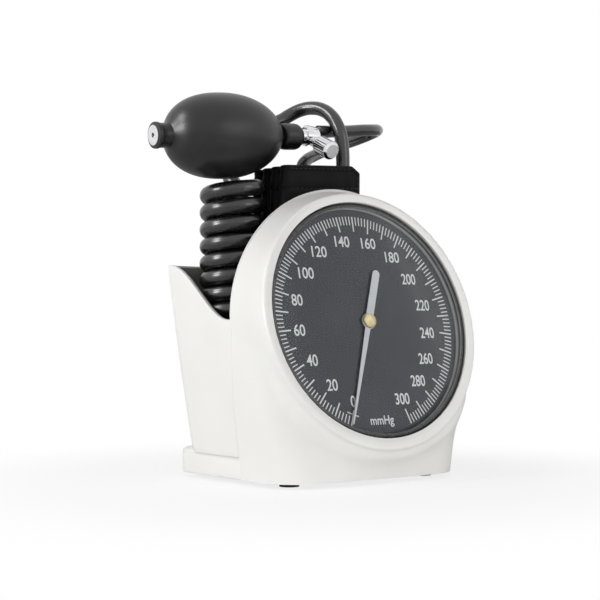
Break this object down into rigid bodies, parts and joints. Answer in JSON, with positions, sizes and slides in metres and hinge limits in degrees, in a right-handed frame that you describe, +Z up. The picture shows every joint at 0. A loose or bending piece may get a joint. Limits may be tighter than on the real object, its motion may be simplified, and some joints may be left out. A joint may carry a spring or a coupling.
{
  "type": "aneroid sphygmomanometer",
  "caption": "Desk model blood pressure gauge: round tilted dial in a white housing, cuff basket behind it, coiled hose, folded cuff, rubber bulb with valves.",
  "frame": {"origin": "middle of the base of the box round the whole part, free hoses left out, on the table under the feet", "axes": "+Z up, -Y out of the front where the dial faces, +X to the right seen from the front; the bulb points to -X"},
  "size_m": [0.2004, 0.1356, 0.2473],
  "materials": {
    "white_shell": "satin moulded white plastic",
    "grey_liner": "matt dark grey plastic",
    "plate_steel": "matt painted sheet",
    "foot_rubber": "matt",
    "screw_steel": "zinc plated",
    "case_metal": "spun, matt",
    "dial_black": "matt black with white print",
    "bevel_grey": "satin",
    "lens_clear": "clear, polished",
    "bezel_black": "semi gloss black",
    "pointer_white": "matt white paint",
    "brass": "turned and polished",
    "spring_steel": "polished",
    "capsule_bronze": "satin",
    "hose_black": "glossy",
    "tube_black": "semi gloss",
    "connector_black": "semi gloss",
    "cuff_nylon": "woven black nylon",
    "bladder_rubber": "matt",
    "bulb_rubber": "satin, powdery",
    "chrome": "polished"
  },
  "bodies": {
    "housing": {"front_shell": "white_shell", "rear_basket": "white_shell", "basket_liner": "grey_liner", "base_plate": "plate_steel", "rubber_feet": "foot_rubber", "wall_screws": "screw_steel", "base_screws": "screw_steel", "gauge_case": "case_metal", "case_screws": "screw_steel", "dial_plate": "dial_black", "bevel_ring": "bevel_grey", "lens": "lens_clear", "bezel_ring": "bezel_black", "movement_base": "brass", "movement_bridge": "brass", "movement_pillars": "brass", "movement_screws": "screw_steel", "hairspring": "spring_steel", "capsule": "capsule_bronze", "gauge_nipple": "brass", "gauge_hose": "hose_black", "coil_hose": "hose_black", "coil_lead": "hose_black", "hose_connector": "connector_black", "bladder_tube": "tube_black", "inflation_tube": "tube_black", "cuff": "cuff_nylon", "bladder": "bladder_rubber", "hook_patch": "cuff_nylon", "bulb": "bulb_rubber", "inlet_valve": "chrome", "release_valve": "chrome"},
    "pointer_group": {"pointer": "pointer_white", "pointer_cap": "brass", "pinion_shaft": "brass"},
    "sector": {"sector_gear": "brass"},
    "stem": {"capsule_stem": "spring_steel"},
    "thumb_screw": {"thumb_screw": "chrome"},
    "inlet_ball": {"inlet_ball": "screw_steel"}
  },
  "joints": [
    {"name": "pointer_turn", "type": "hinge", "parent": "housing", "child": "pointer_group", "pos_m": [0.0159, -0.03993, 0.098], "axis": [0, 0.9703, -0.2419], "range_deg": [0, 320], "stiffness_Nm_per_rad": 0.0002},
    {"name": "sector_swing", "type": "hinge", "parent": "housing", "child": "sector", "pos_m": [0.0159, -0.04525, 0.07665], "axis": [0, -0.9703, 0.2419], "range_deg": [0, 32]},
    {"name": "stem_lift", "type": "slide", "parent": "housing", "child": "stem", "axis": [0, -0.9703, 0.2419], "range_m": [0, 0.0012], "stiffness_N_per_m": 0.0005, "springref_m": 0.19},
    {"name": "thumb_screw_turn", "type": "hinge", "parent": "housing", "child": "thumb_screw", "pos_m": [0.0189, 0.02207, 0.2183], "axis": [0, -0.9135, -0.4067], "range_deg": [0, 360]},
    {"name": "inlet_ball_lift", "type": "slide", "parent": "housing", "child": "inlet_ball", "axis": [0.9966, 0, 0.0819], "range_m": [0, 0.0008]}
  ],
  "couplings": [
    {"joint": "sector_swing", "follows": "pointer_turn", "ratio": 0.1},
    {"joint": "stem_lift", "follows": "pointer_turn", "m_per_rad": 0.00021485}
  ]
}
